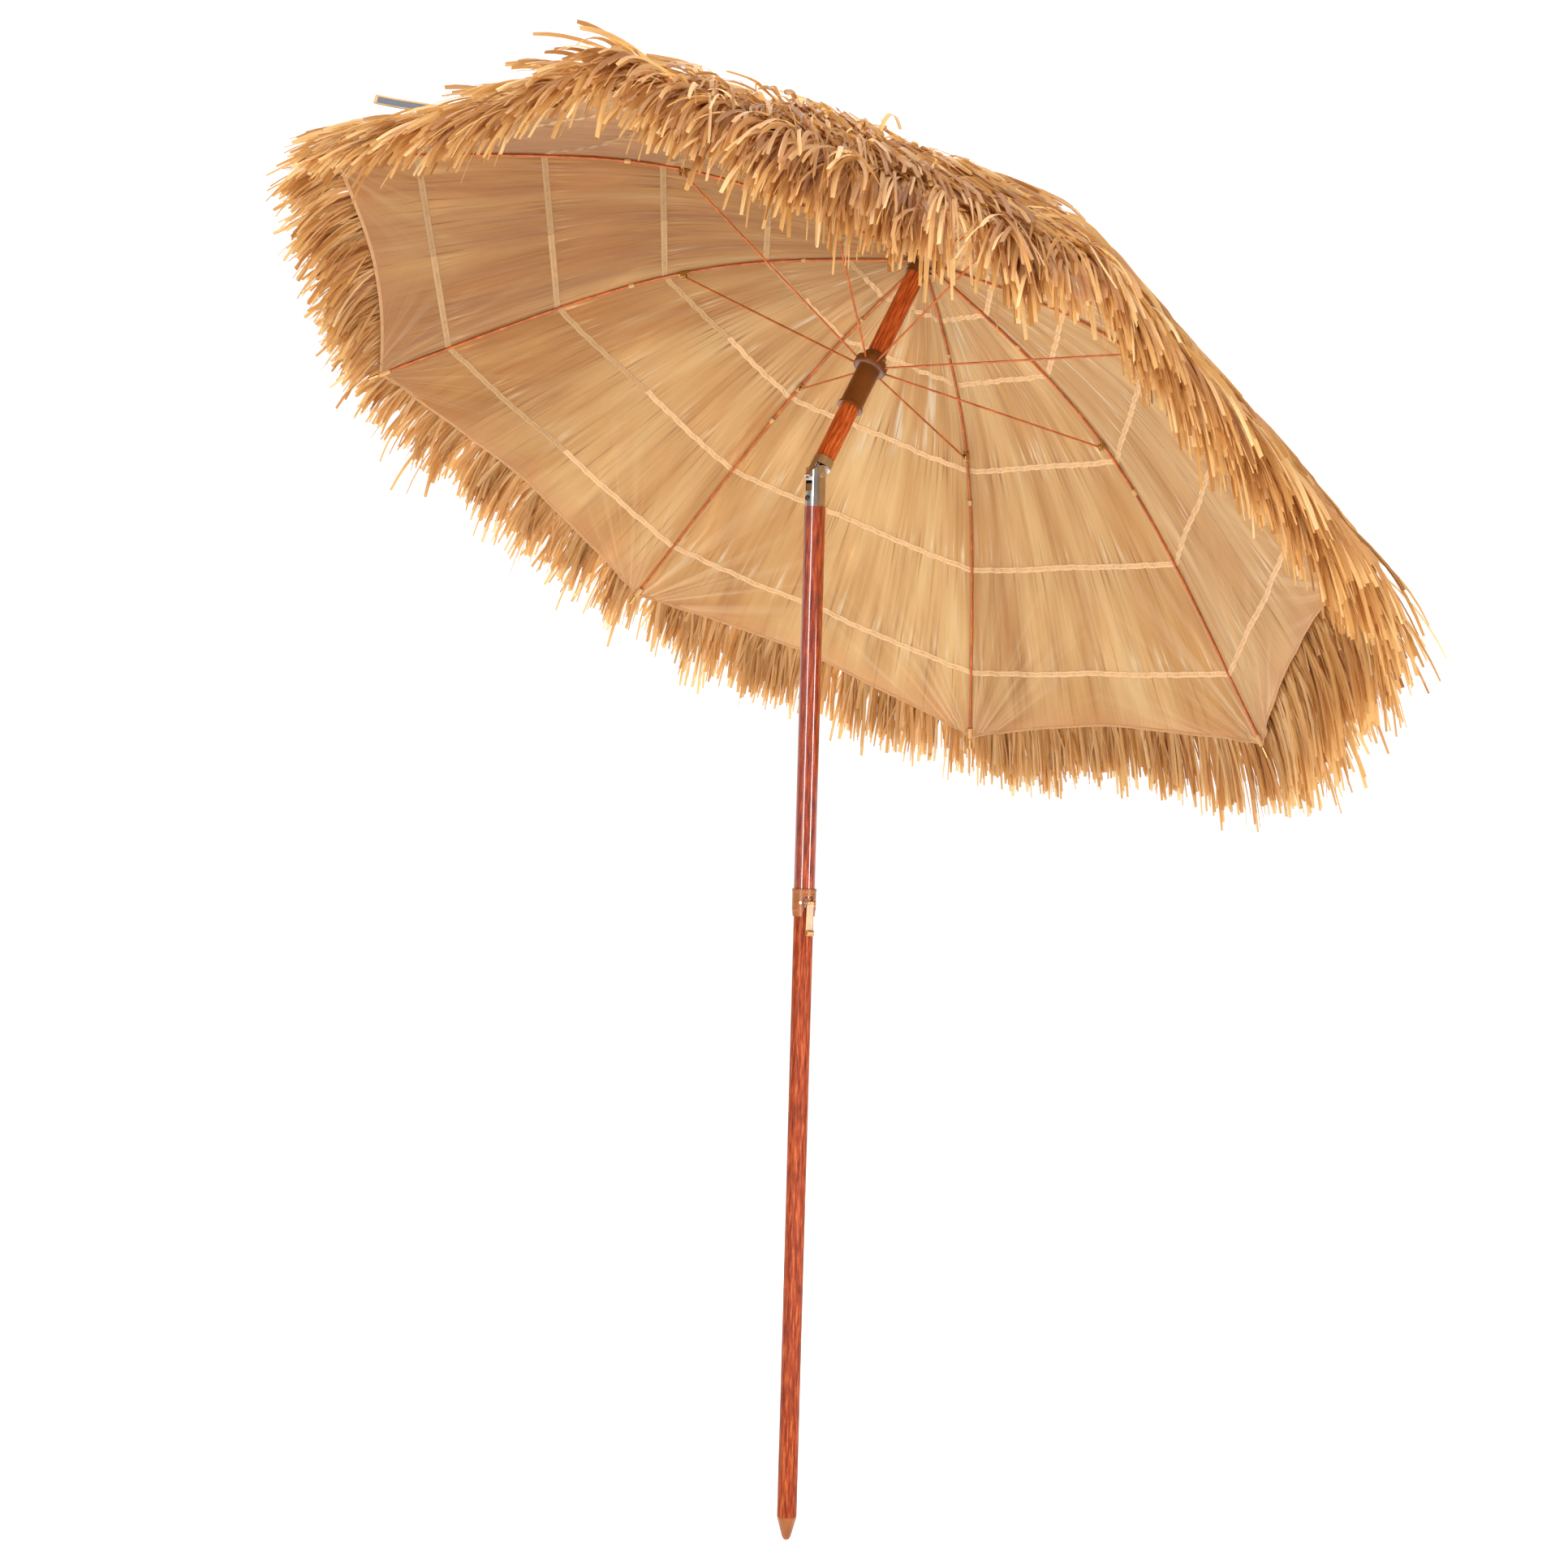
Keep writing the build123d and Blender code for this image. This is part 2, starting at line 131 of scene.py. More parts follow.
def panel_points(azimuth, offset, s, up):
    """Canopy-frame points on the panels beside the rib at an azimuth."""
    r, z = rib_line(s, up)
    r = r * chord(offset)
    a = azimuth + offset
    return np.stack([r * np.cos(a), r * np.sin(a), z], axis=-1)


def cloth_end(offset):
    """Where the cloth's scalloped edge lies along the rib's line."""
    share = np.abs(offset) / HALF
    return RIB_LENGTH - EDGE_INSET - SCALLOP * (1 - (1 - share) ** 2)


# ---- making meshes ----
def add_mesh(name, points, faces, material, uv=None, extra_uv=None, smooth=True):
    """One mesh object from row-frame points, with up to two UV layers given point by point."""
    faces = np.asarray(faces, np.int32)
    mesh = bpy.data.meshes.new(name)
    mesh.vertices.add(len(points))
    mesh.vertices.foreach_set("co", np.asarray(points, np.float32).ravel())
    corners = faces.shape[1]
    mesh.loops.add(faces.size)
    mesh.loops.foreach_set("vertex_index", faces.ravel())
    mesh.polygons.add(len(faces))
    mesh.polygons.foreach_set("loop_start", np.arange(0, faces.size, corners, dtype=np.int32))
    mesh.polygons.foreach_set("use_smooth", np.full(len(faces), smooth))
    for layer_name, values in (("UVMap", uv), ("Strand", extra_uv)):
        if values is not None:
            layer = mesh.uv_layers.new(name=layer_name)
            layer.data.foreach_set("uv", np.asarray(values, np.float32)[faces.ravel()].ravel())
    mesh.materials.append(material)
    mesh.update(calc_edges=True)
    mesh.validate()
    piece = bpy.data.objects.new(name, mesh)
    SCENE.collection.objects.link(piece)
    return piece


def set_slots(piece, slots):
    """Gives each face of a piece the number of its material."""
    piece.data.polygons.foreach_set("material_index", np.asarray(slots).astype(np.int32))


def rows_in(blocks):
    """How many rows a list of arrays has in all."""
    return sum(len(block) for block in blocks)


def grid_faces(rows, columns):
    """Quads of a grid whose points are stored row by row."""
    i = np.arange(rows - 1)[:, None] * columns + np.arange(columns - 1)[None, :]
    return np.stack([i, i + 1, i + columns + 1, i + columns], axis=-1).reshape(-1, 4)


# ---- materials ----
WHITE = (1.0, 1.0, 1.0)
BLACK = (0.0, 0.0, 0.0)


def srgb(r, g, b):
    """Linear colour from 0-255 screen values."""
    def one(v):
        v /= 255.0
        return v / 12.92 if v <= 0.04045 else ((v + 0.055) / 1.055) ** 2.4
    return (one(r), one(g), one(b), 1.0)


def darker(colour, share):
    """A colour with its red, green and blue brought down to a share."""
    return tuple(c * share for c in colour[:3]) + (1.0,)


class Shader:
    """A small helper round one material's node tree."""

    def __init__(self, name):
        self.material = bpy.data.materials.new(name)
        self.material.use_nodes = True
        self.tree = self.material.node_tree
        self.bsdf = self.tree.nodes["Principled BSDF"]
        self.out = self.tree.nodes["Material Output"]

    def node(self, kind, **settings):
        made = self.tree.nodes.new(kind)
        for key, value in settings.items():
            setattr(made, key, value)
        return made

    def link(self, source, target):
        self.tree.links.new(source, target)

    def feed(self, socket, value):
        """Puts a number or colour in a socket, or links another node's output to it."""
        if isinstance(value, (int, float, tuple)):
            socket.default_value = value
        else:
            self.link(value, socket)

    def set(self, **values):
        """Sets inputs of the main surface, named with underscores for spaces."""
        for key, value in values.items():
            self.bsdf.inputs[key.replace("_", " ")].default_value = value

    def base_colour(self, colour):
        self.link(colour, self.bsdf.inputs["Base Color"])

    def roughness(self, pattern, gain, start):
        """Roughness that starts at a value and follows a pattern."""
        self.link(self.plus(self.times(pattern, gain), start), self.bsdf.inputs["Roughness"])

    def split(self, vector):
        """The first two parts of a vector."""
        made = self.node("ShaderNodeSeparateXYZ")
        self.link(vector, made.inputs[0])
        return made.outputs[0], made.outputs[1]

    def join(self, *values):
        made = self.node("ShaderNodeCombineXYZ")
        for socket, value in zip(made.inputs, values):
            self.link(value, socket)
        return made.outputs[0]

    def noise(self, vector, scale, detail=3.0, rough=0.55):
        made = self.node("ShaderNodeTexNoise")
        made.inputs["Scale"].default_value = scale
        made.inputs["Detail"].default_value = detail
        made.inputs["Roughness"].default_value = rough
        self.link(vector, made.inputs["Vector"])
        return made.outputs["Fac"]

    def mapped(self, vector, scale=(1, 1, 1), rotation=(0, 0, 0), location=(0, 0, 0)):
        made = self.node("ShaderNodeMapping")
        made.inputs["Scale"].default_value = scale
        made.inputs["Rotation"].default_value = rotation
        made.inputs["Location"].default_value = location
        self.link(vector, made.inputs["Vector"])
        return made.outputs["Vector"]

    def ramp(self, fac, stops):
        made = self.node("ShaderNodeValToRGB")
        while len(made.color_ramp.elements) < len(stops):
            made.color_ramp.elements.new(0.5)
        for element, (at, colour) in zip(made.color_ramp.elements, stops):
            element.position = at
            element.color = colour if len(colour) == 4 else (*colour, 1.0)
        self.link(fac, made.inputs["Fac"])
        return made.outputs["Color"]

    def rising(self, fac, start, end):
        """Nought up to a start, one from an end."""
        return self.ramp(fac, [(start, BLACK), (end, WHITE)])

    def falling(self, fac, start, end):
        """One up to a start, nought from an end."""
        return self.ramp(fac, [(start, WHITE), (end, BLACK)])

    def math(self, operation, *values):
        made = self.node("ShaderNodeMath", operation=operation)
        for socket, value in zip(made.inputs, values):
            self.feed(socket, value)
        return made.outputs[0]

    def times(self, a, b):
        return self.math("MULTIPLY", a, b)

    def plus(self, a, b):
        return self.math("ADD", a, b)

    def apart(self, a, b):
        """The distance between two values."""
        return self.math("ABSOLUTE", self.math("SUBTRACT", a, b))

    def fade(self, distance, rate):
        """One at no distance, then falling off at a rate."""
        return self.math("EXPONENT", self.times(distance, -rate))

    def mix(self, fac, a, b, blend="MIX"):
        """Goes from one colour to another by a factor."""
        made = self.node("ShaderNodeMix", data_type="RGBA", blend_type=blend)
        for socket, value in zip((made.inputs[0], made.inputs[6], made.inputs[7]), (fac, a, b)):
            self.feed(socket, value)
        return made.outputs[2]

    def shade(self, share, tone, colour):
        """Multiplies a tone by a colour, over a share of it."""
        return self.mix(share, tone, self.mix(1.0, tone, colour, "MULTIPLY"))

    def bump(self, height, strength, distance):
        made = self.node("ShaderNodeBump")
        made.inputs["Strength"].default_value = strength
        made.inputs["Distance"].default_value = distance
        self.link(height, made.inputs["Height"])
        self.link(made.outputs["Normal"], self.bsdf.inputs["Normal"])

    def translucent(self, colour, share):
        """Lets part of the light through, as thin cloth and dry leaf do."""
        through = self.node("ShaderNodeBsdfTranslucent")
        self.feed(through.inputs["Color"], colour)
        both = self.node("ShaderNodeMixShader")
        both.inputs[0].default_value = share
        self.link(self.bsdf.outputs[0], both.inputs[1])
        self.link(through.outputs[0], both.inputs[2])
        self.link(both.outputs[0], self.out.inputs["Surface"])


def object_coords(sh):
    """Each point's place on its own object, in metres."""
    return sh.node("ShaderNodeTexCoord").outputs["Object"]


def uv_coords(sh, name):
    return sh.node("ShaderNodeUVMap", uv_map=name).outputs["UV"]


def woodgrain(name, tones, lean=0.0, gloss=0.28, coat=0.35):
    """Printed wood-effect film on steel tube, its grain along the tube."""
    sh = Shader(name)
    base = object_coords(sh)
    upright = sh.mapped(base, rotation=(0.0, -lean, 0.0))
    long_grain = sh.noise(sh.mapped(upright, scale=(330, 330, 30.0)), 1.0, 4.0, 0.6)
    broad = sh.noise(sh.mapped(upright, scale=(34, 34, 1.3)), 1.0, 2.0)
    colour = sh.ramp(long_grain, list(zip((0.34, 0.44, 0.55, 0.66), tones)))
    sh.base_colour(sh.mix(sh.times(broad, 0.3), colour, tones[1]))
    sh.roughness(sh.noise(base, 60.0, 4.0, 0.7), 0.12, gloss - 0.06)
    sh.set(Coat_Weight=coat, Coat_Roughness=0.05, Coat_IOR=1.8, Specular_IOR_Level=0.12)
    sh.bump(long_grain, 0.04, 0.0002)
    return sh.material


def plastic(name, colour, dark, rough=0.32, coat=0.2):
    """Moulded plastic, a little mottled, with a fine grain."""
    sh = Shader(name)
    base = object_coords(sh)
    mottled = sh.noise(base, 45.0, 4.0, 0.6)
    sh.base_colour(sh.ramp(mottled, [(0.3, dark), (0.62, colour)]))
    sh.roughness(mottled, 0.16, rough - 0.08)
    sh.set(Coat_Weight=coat, Coat_Roughness=0.15)
    sh.bump(sh.noise(base, 900.0, 2.0), 0.08, 0.0003)
    return sh.material


def metal(name, colour, rough=0.14, brushed=0.0):
    """Bare or plated metal, with faint smears and, where asked, brush marks."""
    sh = Shader(name)
    base = object_coords(sh)
    smear = sh.noise(base, 70.0, 4.0, 0.65)
    sh.base_colour(sh.ramp(smear, [(0.3, darker(colour, 0.82)), (0.6, colour)]))
    sh.set(Metallic=1.0)
    sh.roughness(smear, 0.18, rough - 0.06)
    if brushed:
        sh.bump(sh.noise(sh.mapped(base, scale=(300, 300, 20)), 1.0), brushed, 0.0002)
    return sh.material


def wire_paint(name):
    """Thin copper-brown lacquer on steel wire."""
    sh = Shader(name)
    wear_and_shade = sh.noise(object_coords(sh), 55.0, 4.0, 0.7)
    tones = [(0.3, srgb(132, 58, 6)), (0.6, srgb(184, 90, 14)), (0.78, srgb(212, 118, 30))]
    sh.base_colour(sh.ramp(wear_and_shade, tones))
    sh.set(Metallic=0.1, Roughness=0.42, Coat_Weight=0.08)
    return sh.material


# The azimuth of the canopy's shaded side, and how sharply the shade falls off round it.
SHADE_AZIMUTH = 2.62
SHADE_POWER = 1.5


def painted_thatch_shadows(sh, streaks, s):
    """Painted shadow and light of the thatch, seen through the cloth as dark and bright streaks, and the
    plainer cloth near the edge.
    """
    # Painted shadow and light: the streaks stand for the thatch's shadow on the cloth and the light between
    # its strips.
    fine = sh.noise(sh.mapped(streaks, scale=(3.4, 1.3, 1)), 1.0, 3.0, 0.6)
    broad = sh.noise(streaks, 1.0, 2.0, 0.5)
    streak = sh.plus(sh.times(broad, 0.66), sh.times(fine, 0.34))
    tones = [(0.32, srgb(210, 160, 98)), (0.47, srgb(238, 193, 128)), (0.66, srgb(252, 218, 154))]
    tone = sh.ramp(streak, tones)
    thatched = sh.ramp(s, [(0.0, WHITE), (0.86, WHITE), (0.90, (0.25,) * 3), (1.0, (0.2,) * 3)])
    return sh.mix(thatched, srgb(234, 184, 128), tone)


def cloth_patches(sh, tone, uv, streaks, s):
    """Painted shade as broad darker patches, warmer patches of tone, and painted light through bright gaps
    in the thatch on the inner part.
    """
    # Painted shade: broad darker patches on the cloth.
    at = (1.3, 4.4, 0)
    shadow_blotch = sh.noise(sh.mapped(streaks, scale=(0.34, 0.5, 1), location=at), 1.0, 1.5, 0.5)
    tone = sh.shade(sh.times(sh.falling(shadow_blotch, 0.42, 0.62), 0.8), tone, srgb(228, 206, 180))
    soft = sh.noise(sh.mapped(uv, scale=(9, 5, 1)), 1.0, 3.0)
    tone = sh.mix(sh.times(soft, 0.3), tone, srgb(224, 170, 108))
    # Painted light: bright patches where daylight comes through gaps in the thatch.
    at = (3.7, 9.1, 0)
    gap = sh.noise(sh.mapped(streaks, scale=(0.9, 1.2, 1), location=at), 1.0, 2.5, 0.6)
    gap = sh.times(sh.rising(gap, 0.60, 0.72), sh.falling(s, 0.42, 0.62))
    return sh.mix(sh.times(gap, 0.75), tone, srgb(255, 240, 206))


def ring_marks(sh, tone, streaks, s, ring):
    """Painted light as bright tufts just inside a tape ring, and painted shade in dark pinches on both sides
    of it.
    """
    # Painted light shining through the thatch's tufts just inside the ring.
    at = (ring * 31, 2.3, 0)
    tufts = sh.noise(sh.mapped(streaks, scale=(4.6, 1.6, 1), location=at), 1.0, 2.0, 0.5)
    near = sh.fade(sh.apart(s, ring - 0.022), 34.0)
    lit = sh.times(sh.times(sh.rising(tufts, 0.57, 0.68), near), 0.8)
    tone = sh.mix(lit, tone, srgb(255, 232, 186))
    # Painted shade in the creased pinches beside the ring.
    at = (ring * 17, 6.1, 0)
    pinch = sh.noise(sh.mapped(streaks, scale=(7.5, 1.1, 1), location=at), 1.0, 2.0, 0.6)
    beside = sh.fade(sh.apart(s, ring), 17.0)
    dark = sh.times(sh.times(sh.falling(pinch, 0.33, 0.44), beside), 0.95)
    return sh.mix(dark, tone, srgb(176, 116, 64))


def tip_folds(sh, azimuth, s):
    """Pulled folds that fan out from the rib tips: their pattern, and how it fades with distance."""
    offset = sh.math("WRAP", sh.math("SUBTRACT", azimuth, RIB_AZIMUTHS[0]), HALF, -HALF)
    side = sh.times(offset, s)
    inward = sh.plus(sh.times(s, -1.0), RIB_LENGTH + EDGE_INSET)
    distance = sh.math("POWER", sh.plus(sh.times(side, side), sh.times(inward, inward)), 0.5)
    fan = sh.join(sh.times(sh.math("ARCTAN2", side, inward), 9.0), sh.times(azimuth, 1.5))
    return sh.noise(fan, 1.0, 3.0, 0.55), sh.fade(distance, 6.5)


def cloth(name):
    """Tan canopy polyester seen from inside; its UVs are the azimuth and the distance along the rib."""
    sh = Shader(name)
    uv = uv_coords(sh, "UVMap")
    azimuth, s = sh.split(uv)
    streaks = sh.join(sh.times(azimuth, 15.0), sh.times(s, 3.2))
    tone = painted_thatch_shadows(sh, streaks, s)
    tone = cloth_patches(sh, tone, uv, streaks, s)
    for ring in RING_S[1:]:
        tone = ring_marks(sh, tone, streaks, s, ring)
    folds, fade = tip_folds(sh, azimuth, s)
    # Painted highlight: the sheen on the pulled folds that fan out from the rib tips.
    fold_highlight = sh.times(sh.rising(folds, 0.50, 0.64), fade)
    tone = sh.mix(sh.times(fold_highlight, 0.9), tone, srgb(255, 224, 176))
    # Painted shade on the panels turned towards the canopy's shaded side.
    turned = sh.math("COSINE", sh.math("SUBTRACT", azimuth, SHADE_AZIMUTH))
    shaded = sh.times(sh.math("POWER", sh.math("MAXIMUM", turned, 0.0), SHADE_POWER), 0.95)
    tone = sh.shade(shaded, tone, srgb(200, 174, 138))
    sh.base_colour(tone)
    weave = sh.node("ShaderNodeTexWave", wave_type="BANDS", bands_direction="Y")
    weave.inputs["Scale"].default_value = 420.0
    sh.link(uv, weave.inputs["Vector"])
    grain = sh.noise(sh.mapped(uv, scale=(900, 1400, 1)), 1.0, 2.0)
    fibres = sh.plus(sh.times(weave.outputs["Fac"], 0.05), sh.times(grain, 0.1))
    lean = (0, 0, 0.12)
    crease = sh.noise(sh.mapped(streaks, scale=(2.6, 1.6, 1), rotation=lean), 1.0, 4.0, 0.62)
    sh.bump(sh.plus(sh.plus(crease, fibres), sh.times(sh.times(folds, fade), 3.0)), 0.6, 0.010)
    sh.set(Roughness=0.82, Sheen_Weight=0.18, Sheen_Roughness=0.5)
    sh.translucent(tone, 0.38)
    return sh.material


def tape(name, colour, stitch):
    """Webbing tape with two rows of stitches; U runs along it in metres and V across it."""
    sh = Shader(name)
    uv = uv_coords(sh, "UVMap")
    along, over = sh.split(uv)
    across = sh.apart(over, 0.5)
    row = sh.math("LESS_THAN", sh.apart(across, 0.32), 0.055)
    dash = sh.math("LESS_THAN", sh.math("FRACT", sh.times(along, 160.0)), 0.66)
    thread = sh.times(row, dash)
    grain = sh.noise(sh.mapped(uv, scale=(1600, 26, 1)), 1.0, 2.0)
    base = sh.mix(sh.times(grain, 0.5), colour, darker(colour, 0.7))
    # Painted shade: darker in the gathers and along the stitched edges.
    gather = sh.falling(sh.noise(sh.mapped(uv, scale=(110, 1.5, 1)), 1.0, 2.0), 0.36, 0.52)
    edge = sh.math("GREATER_THAN", across, 0.43)
    wear_and_shade = sh.times(sh.math("MAXIMUM", gather, edge), 0.6)
    base = sh.mix(wear_and_shade, base, darker(colour, 0.55))
    sh.base_colour(sh.mix(thread, base, stitch))
    sh.bump(sh.plus(thread, sh.times(grain, 0.5)), 0.5, 0.0008)
    sh.set(Roughness=0.8, Sheen_Weight=0.15)
    sh.translucent(colour, 0.38)
    return sh.material


def raffia(name):
    """Dry raffia ribbon: each strip its own tone, with fibres along it, painted shade towards its root, and
    light coming through.
    """
    sh = Shader(name)
    own, age = sh.split(uv_coords(sh, "Strand"))
    tone = sh.ramp(own, [
        (0.0, srgb(140, 86, 38)),
        (0.16, srgb(184, 128, 66)),
        (0.42, srgb(214, 164, 96)),
        (0.7, srgb(238, 194, 124)),
        (0.9, srgb(253, 222, 164)),
        (1.0, srgb(222, 184, 122)),
    ])
    across, along = sh.split(uv_coords(sh, "UVMap"))
    own_place = sh.plus(sh.times(across, 7.0), sh.times(own, 90.0))
    fibre = sh.noise(sh.join(own_place, sh.times(along, 2.2), sh.times(age, 40.0)), 1.0, 4.0, 0.65)
    tone = sh.mix(sh.times(sh.falling(fibre, 0.35, 0.62), 0.45), tone, srgb(160, 100, 46))
    # Painted shade: each strip darker towards its root, under the row above.
    root = sh.falling(along, 0.0, 0.4)
    tone = sh.mix(sh.times(root, 0.3), tone, srgb(150, 94, 46))
    sh.base_colour(tone)
    sh.bump(fibre, 0.35, 0.0012)
    sh.set(Roughness=0.4, Specular_IOR_Level=0.55, Sheen_Weight=0.1)
    sh.translucent(tone, 0.58)
    return sh.material


def plain_cloth(name, colour, rough=0.85):
    """Plain twill webbing."""
    sh = Shader(name)
    twill = sh.noise(object_coords(sh), 1400.0, 2.0)
    sh.base_colour(sh.ramp(twill, [(0.3, darker(colour, 0.7)), (0.7, colour)]))
    sh.bump(twill, 0.4, 0.0006)
    sh.set(Roughness=rough, Sheen_Weight=0.2)
    return sh.material


def shaded_colour(colour, dim):
    """A colour brought down by the shade, its red least and its blue most."""
    return (colour[0] * dim**0.8, colour[1] * dim, colour[2] * dim**1.3, 1.0)


def gore_tape(index):
    """The tape of one gore, darker on the canopy's shaded side."""
    facing = max(math.cos(RIB_AZIMUTHS[index] - SHADE_AZIMUTH), 0.0)
    dim = 1.0 - 0.5 * facing ** SHADE_POWER
    webbing = shaded_colour(srgb(246, 202, 144), dim)
    thread = shaded_colour(srgb(255, 236, 198), dim)
    return tape(f"thatch_tape_{index + 1}", webbing, thread)


ORANGE_WOOD = (srgb(88, 26, 6), srgb(126, 44, 12), srgb(154, 62, 22), srgb(190, 98, 48))
DARK_WOOD = (srgb(80, 20, 4), srgb(120, 38, 8), srgb(150, 54, 16), srgb(184, 84, 34))
MAST_WOOD = (srgb(112, 40, 12), srgb(158, 68, 26), srgb(186, 88, 38), srgb(206, 112, 54))
WOOD_POLE = woodgrain("wood_lower", ORANGE_WOOD, gloss=0.36, coat=0.05)
WOOD_MIDDLE = woodgrain("wood_middle", DARK_WOOD, gloss=0.4, coat=1.0)
WOOD_MAST = woodgrain("wood_mast", MAST_WOOD, lean=TILT, gloss=0.4, coat=0.05)
BRONZE = plastic("bronze_plastic", srgb(106, 52, 3), srgb(84, 40, 2), 0.34, 0.3)
OCHRE = plastic("ochre_plastic", srgb(150, 80, 12), srgb(120, 60, 8), 0.34, 0.25)
PALE_GOLD = plastic("pale_gold_plastic", srgb(182, 128, 60), srgb(146, 94, 38), 0.3, 0.3)
DARK = plastic("dark_plastic", srgb(52, 40, 32), srgb(30, 24, 20), 0.45, 0.1)
CHROME = metal("chrome", (0.56, 0.52, 0.48, 1.0), 0.1)
ZINC = metal("zinc", (0.62, 0.61, 0.6, 1.0), 0.26, 0.1)
BRASSY = metal("brassy_steel", srgb(206, 170, 110), 0.3, 0.1)
COPPER = wire_paint("copper_wire")
CLOTH = cloth("canopy_cloth")
TAPES = [gore_tape(index) for index in range(RIBS)]
HEM = tape("hem", srgb(216, 164, 110), srgb(236, 194, 140))
RAFFIA = raffia("raffia")
GREY = plain_cloth("grey_strap", srgb(84, 92, 102))
BINDING = plain_cloth("tan_binding", srgb(206, 158, 98))

LOOKS = {
    "ground_spike": OCHRE,
    "lower_pole": WOOD_POLE,
    "lower_pole_plug": DARK,
    "middle_pole": WOOD_MIDDLE,
    "height_collar": OCHRE,
    "collar_screw": ZINC,
    "lock_lever": PALE_GOLD,
    "lever_pin": ZINC,
    "lock_shoe": DARK,
    "tilt_lower_sleeve": CHROME,
    "tilt_upper_sleeve": CHROME,
    "tilt_pivot_pin": ZINC,
    "tilt_button": DARK,
    "mast": WOOD_MAST,
    "runner": BRONZE,
    "runner_ring": ZINC,
    "top_notch": BRONZE,
    "notch_ring": ZINC,
    "top_cap": DARK,
}
for k in range(1, RIBS + 1):
    LOOKS[f"rib_{k}"] = COPPER
    LOOKS[f"stretcher_{k}"] = COPPER
    LOOKS[f"rib_fittings_{k}"] = BRASSY
for node_name, look in LOOKS.items():
    mesh = NODES[node_name].data
    mesh.materials.clear()
    mesh.materials.append(look)


# ---- cloth: most rows of points are straight, and the last ones run to the scalloped edge ----
COLUMNS = 61
OFFSETS = np.linspace(-HALF, HALF, COLUMNS)
CLOTH_ROWS = 120
CLOTH_FROM = 0.012
STRAIGHT_TO = 0.85
STRAIGHT_SHARE = 0.86
TAPE_ROWS = 5
TAPE_HALF_WIDTH = 0.0055
HEM_HALF_WIDTH = 0.0028
TAPE_DROP = 0.0005
TAPE_CROWN = 0.0004


def ripple(azimuth, s, offset):
    """Small shape of the cloth: waves, puckers at the tape rings, folds at the rib's tip, a slack middle."""
    up = 0.0008 * np.sin(azimuth * 23.0 + s * 9.0) + 0.0006 * np.sin(azimuth * 51.0 - s * 17.0)
    for ring in RING_S[1:]:
        pucker = 0.0015 * np.sin(azimuth * 16 * round(2 + ring * 9))
        up = up + pucker * np.exp(-(((s - ring) / 0.024) ** 2))
    lateral = offset * np.interp(s, LINE_S, LINE_R)
    back = RIB_LENGTH - s + 0.006
    far = np.hypot(lateral, back)
    fan = np.arctan2(lateral, back)
    up = up + 0.0042 * np.sin(fan * 17.0) * np.exp(-far / 0.12) * np.clip(far / 0.04, 0, 1)
    share = np.abs(offset) / HALF
    belly = -0.006 * np.sin(np.pi * np.clip(share, 0, 1)) * np.clip((s - 0.1) / 0.6, 0, 1)
    return up + belly


def make_cloth(index):
    """One gore of cloth, whose last rows follow the scalloped edge."""
    azimuth = RIB_AZIMUTHS[index]
    level = np.linspace(0, 1, CLOTH_ROWS)[:, None]
    s_straight = CLOTH_FROM + (STRAIGHT_TO - CLOTH_FROM) * level / STRAIGHT_SHARE
    edge_share = (level - STRAIGHT_SHARE) / (1 - STRAIGHT_SHARE)
    s_edge = STRAIGHT_TO + (cloth_end(OFFSETS)[None, :] - STRAIGHT_TO) * edge_share
    s = np.where(level <= STRAIGHT_SHARE, s_straight, s_edge)
    off = np.broadcast_to(OFFSETS[None, :], s.shape)
    up = CLOTH_UP + ripple(azimuth + off, s, off)
    points = panel_points(azimuth, off, s, up).reshape(-1, 3)
    uv = np.stack([azimuth + off, s], axis=-1).reshape(-1, 2)
    faces = grid_faces(CLOTH_ROWS, COLUMNS)
    return add_mesh(f"cloth_{index + 1}", to_row(points), faces, CLOTH, uv=uv)


def make_tapes(index):
    """The sewn tape rings under the cloth, and the hem round its edge, for one gore."""
    azimuth = RIB_AZIMUTHS[index]
    bands = [(np.full(COLUMNS, ring), TAPE_HALF_WIDTH) for ring in RING_S[1:]]
    bands.append((cloth_end(OFFSETS) - HEM_HALF_WIDTH, HEM_HALF_WIDTH))
    across = np.linspace(-1, 1, TAPE_ROWS)[:, None]
    crown = TAPE_CROWN * (1 - across**2)
    points, faces, uvs = [], [], []
    for centre, half_width in bands:
        s = centre[None, :] + across * half_width
        off = np.broadcast_to(OFFSETS[None, :], s.shape)
        up = CLOTH_UP + ripple(azimuth + off, s, off) - TAPE_DROP - crown
        faces.append(grid_faces(TAPE_ROWS, COLUMNS) + rows_in(points))
        points.append(panel_points(azimuth, off, s, up).reshape(-1, 3))
        along = (azimuth + off) * np.interp(s, LINE_S, LINE_R)
        over = np.broadcast_to((across + 1) / 2, s.shape)
        uvs.append(np.stack([along, over], axis=-1).reshape(-1, 2))
    hem_from = rows_in(faces[:-1])
    points, faces, uv = np.concatenate(points), np.concatenate(faces), np.concatenate(uvs)
    piece = add_mesh(f"tapes_{index + 1}", to_row(points), faces, TAPES[index], uv=uv)
    piece.data.materials.append(HEM)
    set_slots(piece, np.arange(len(piece.data.polygons)) >= hem_from)
    return piece


# Where each tie's middle lies along the rib, how wide it is, and its radius; the last is the tip's pocket.
TIES = (
    (along_at(0.478), 0.010, 0.0034),
    (along_at(0.20), 0.007, 0.0031),
    (RIB_LENGTH - 0.022, 0.02, 0.0042),
)
TIE_ROWS = 4
TIE_SIDES = 16


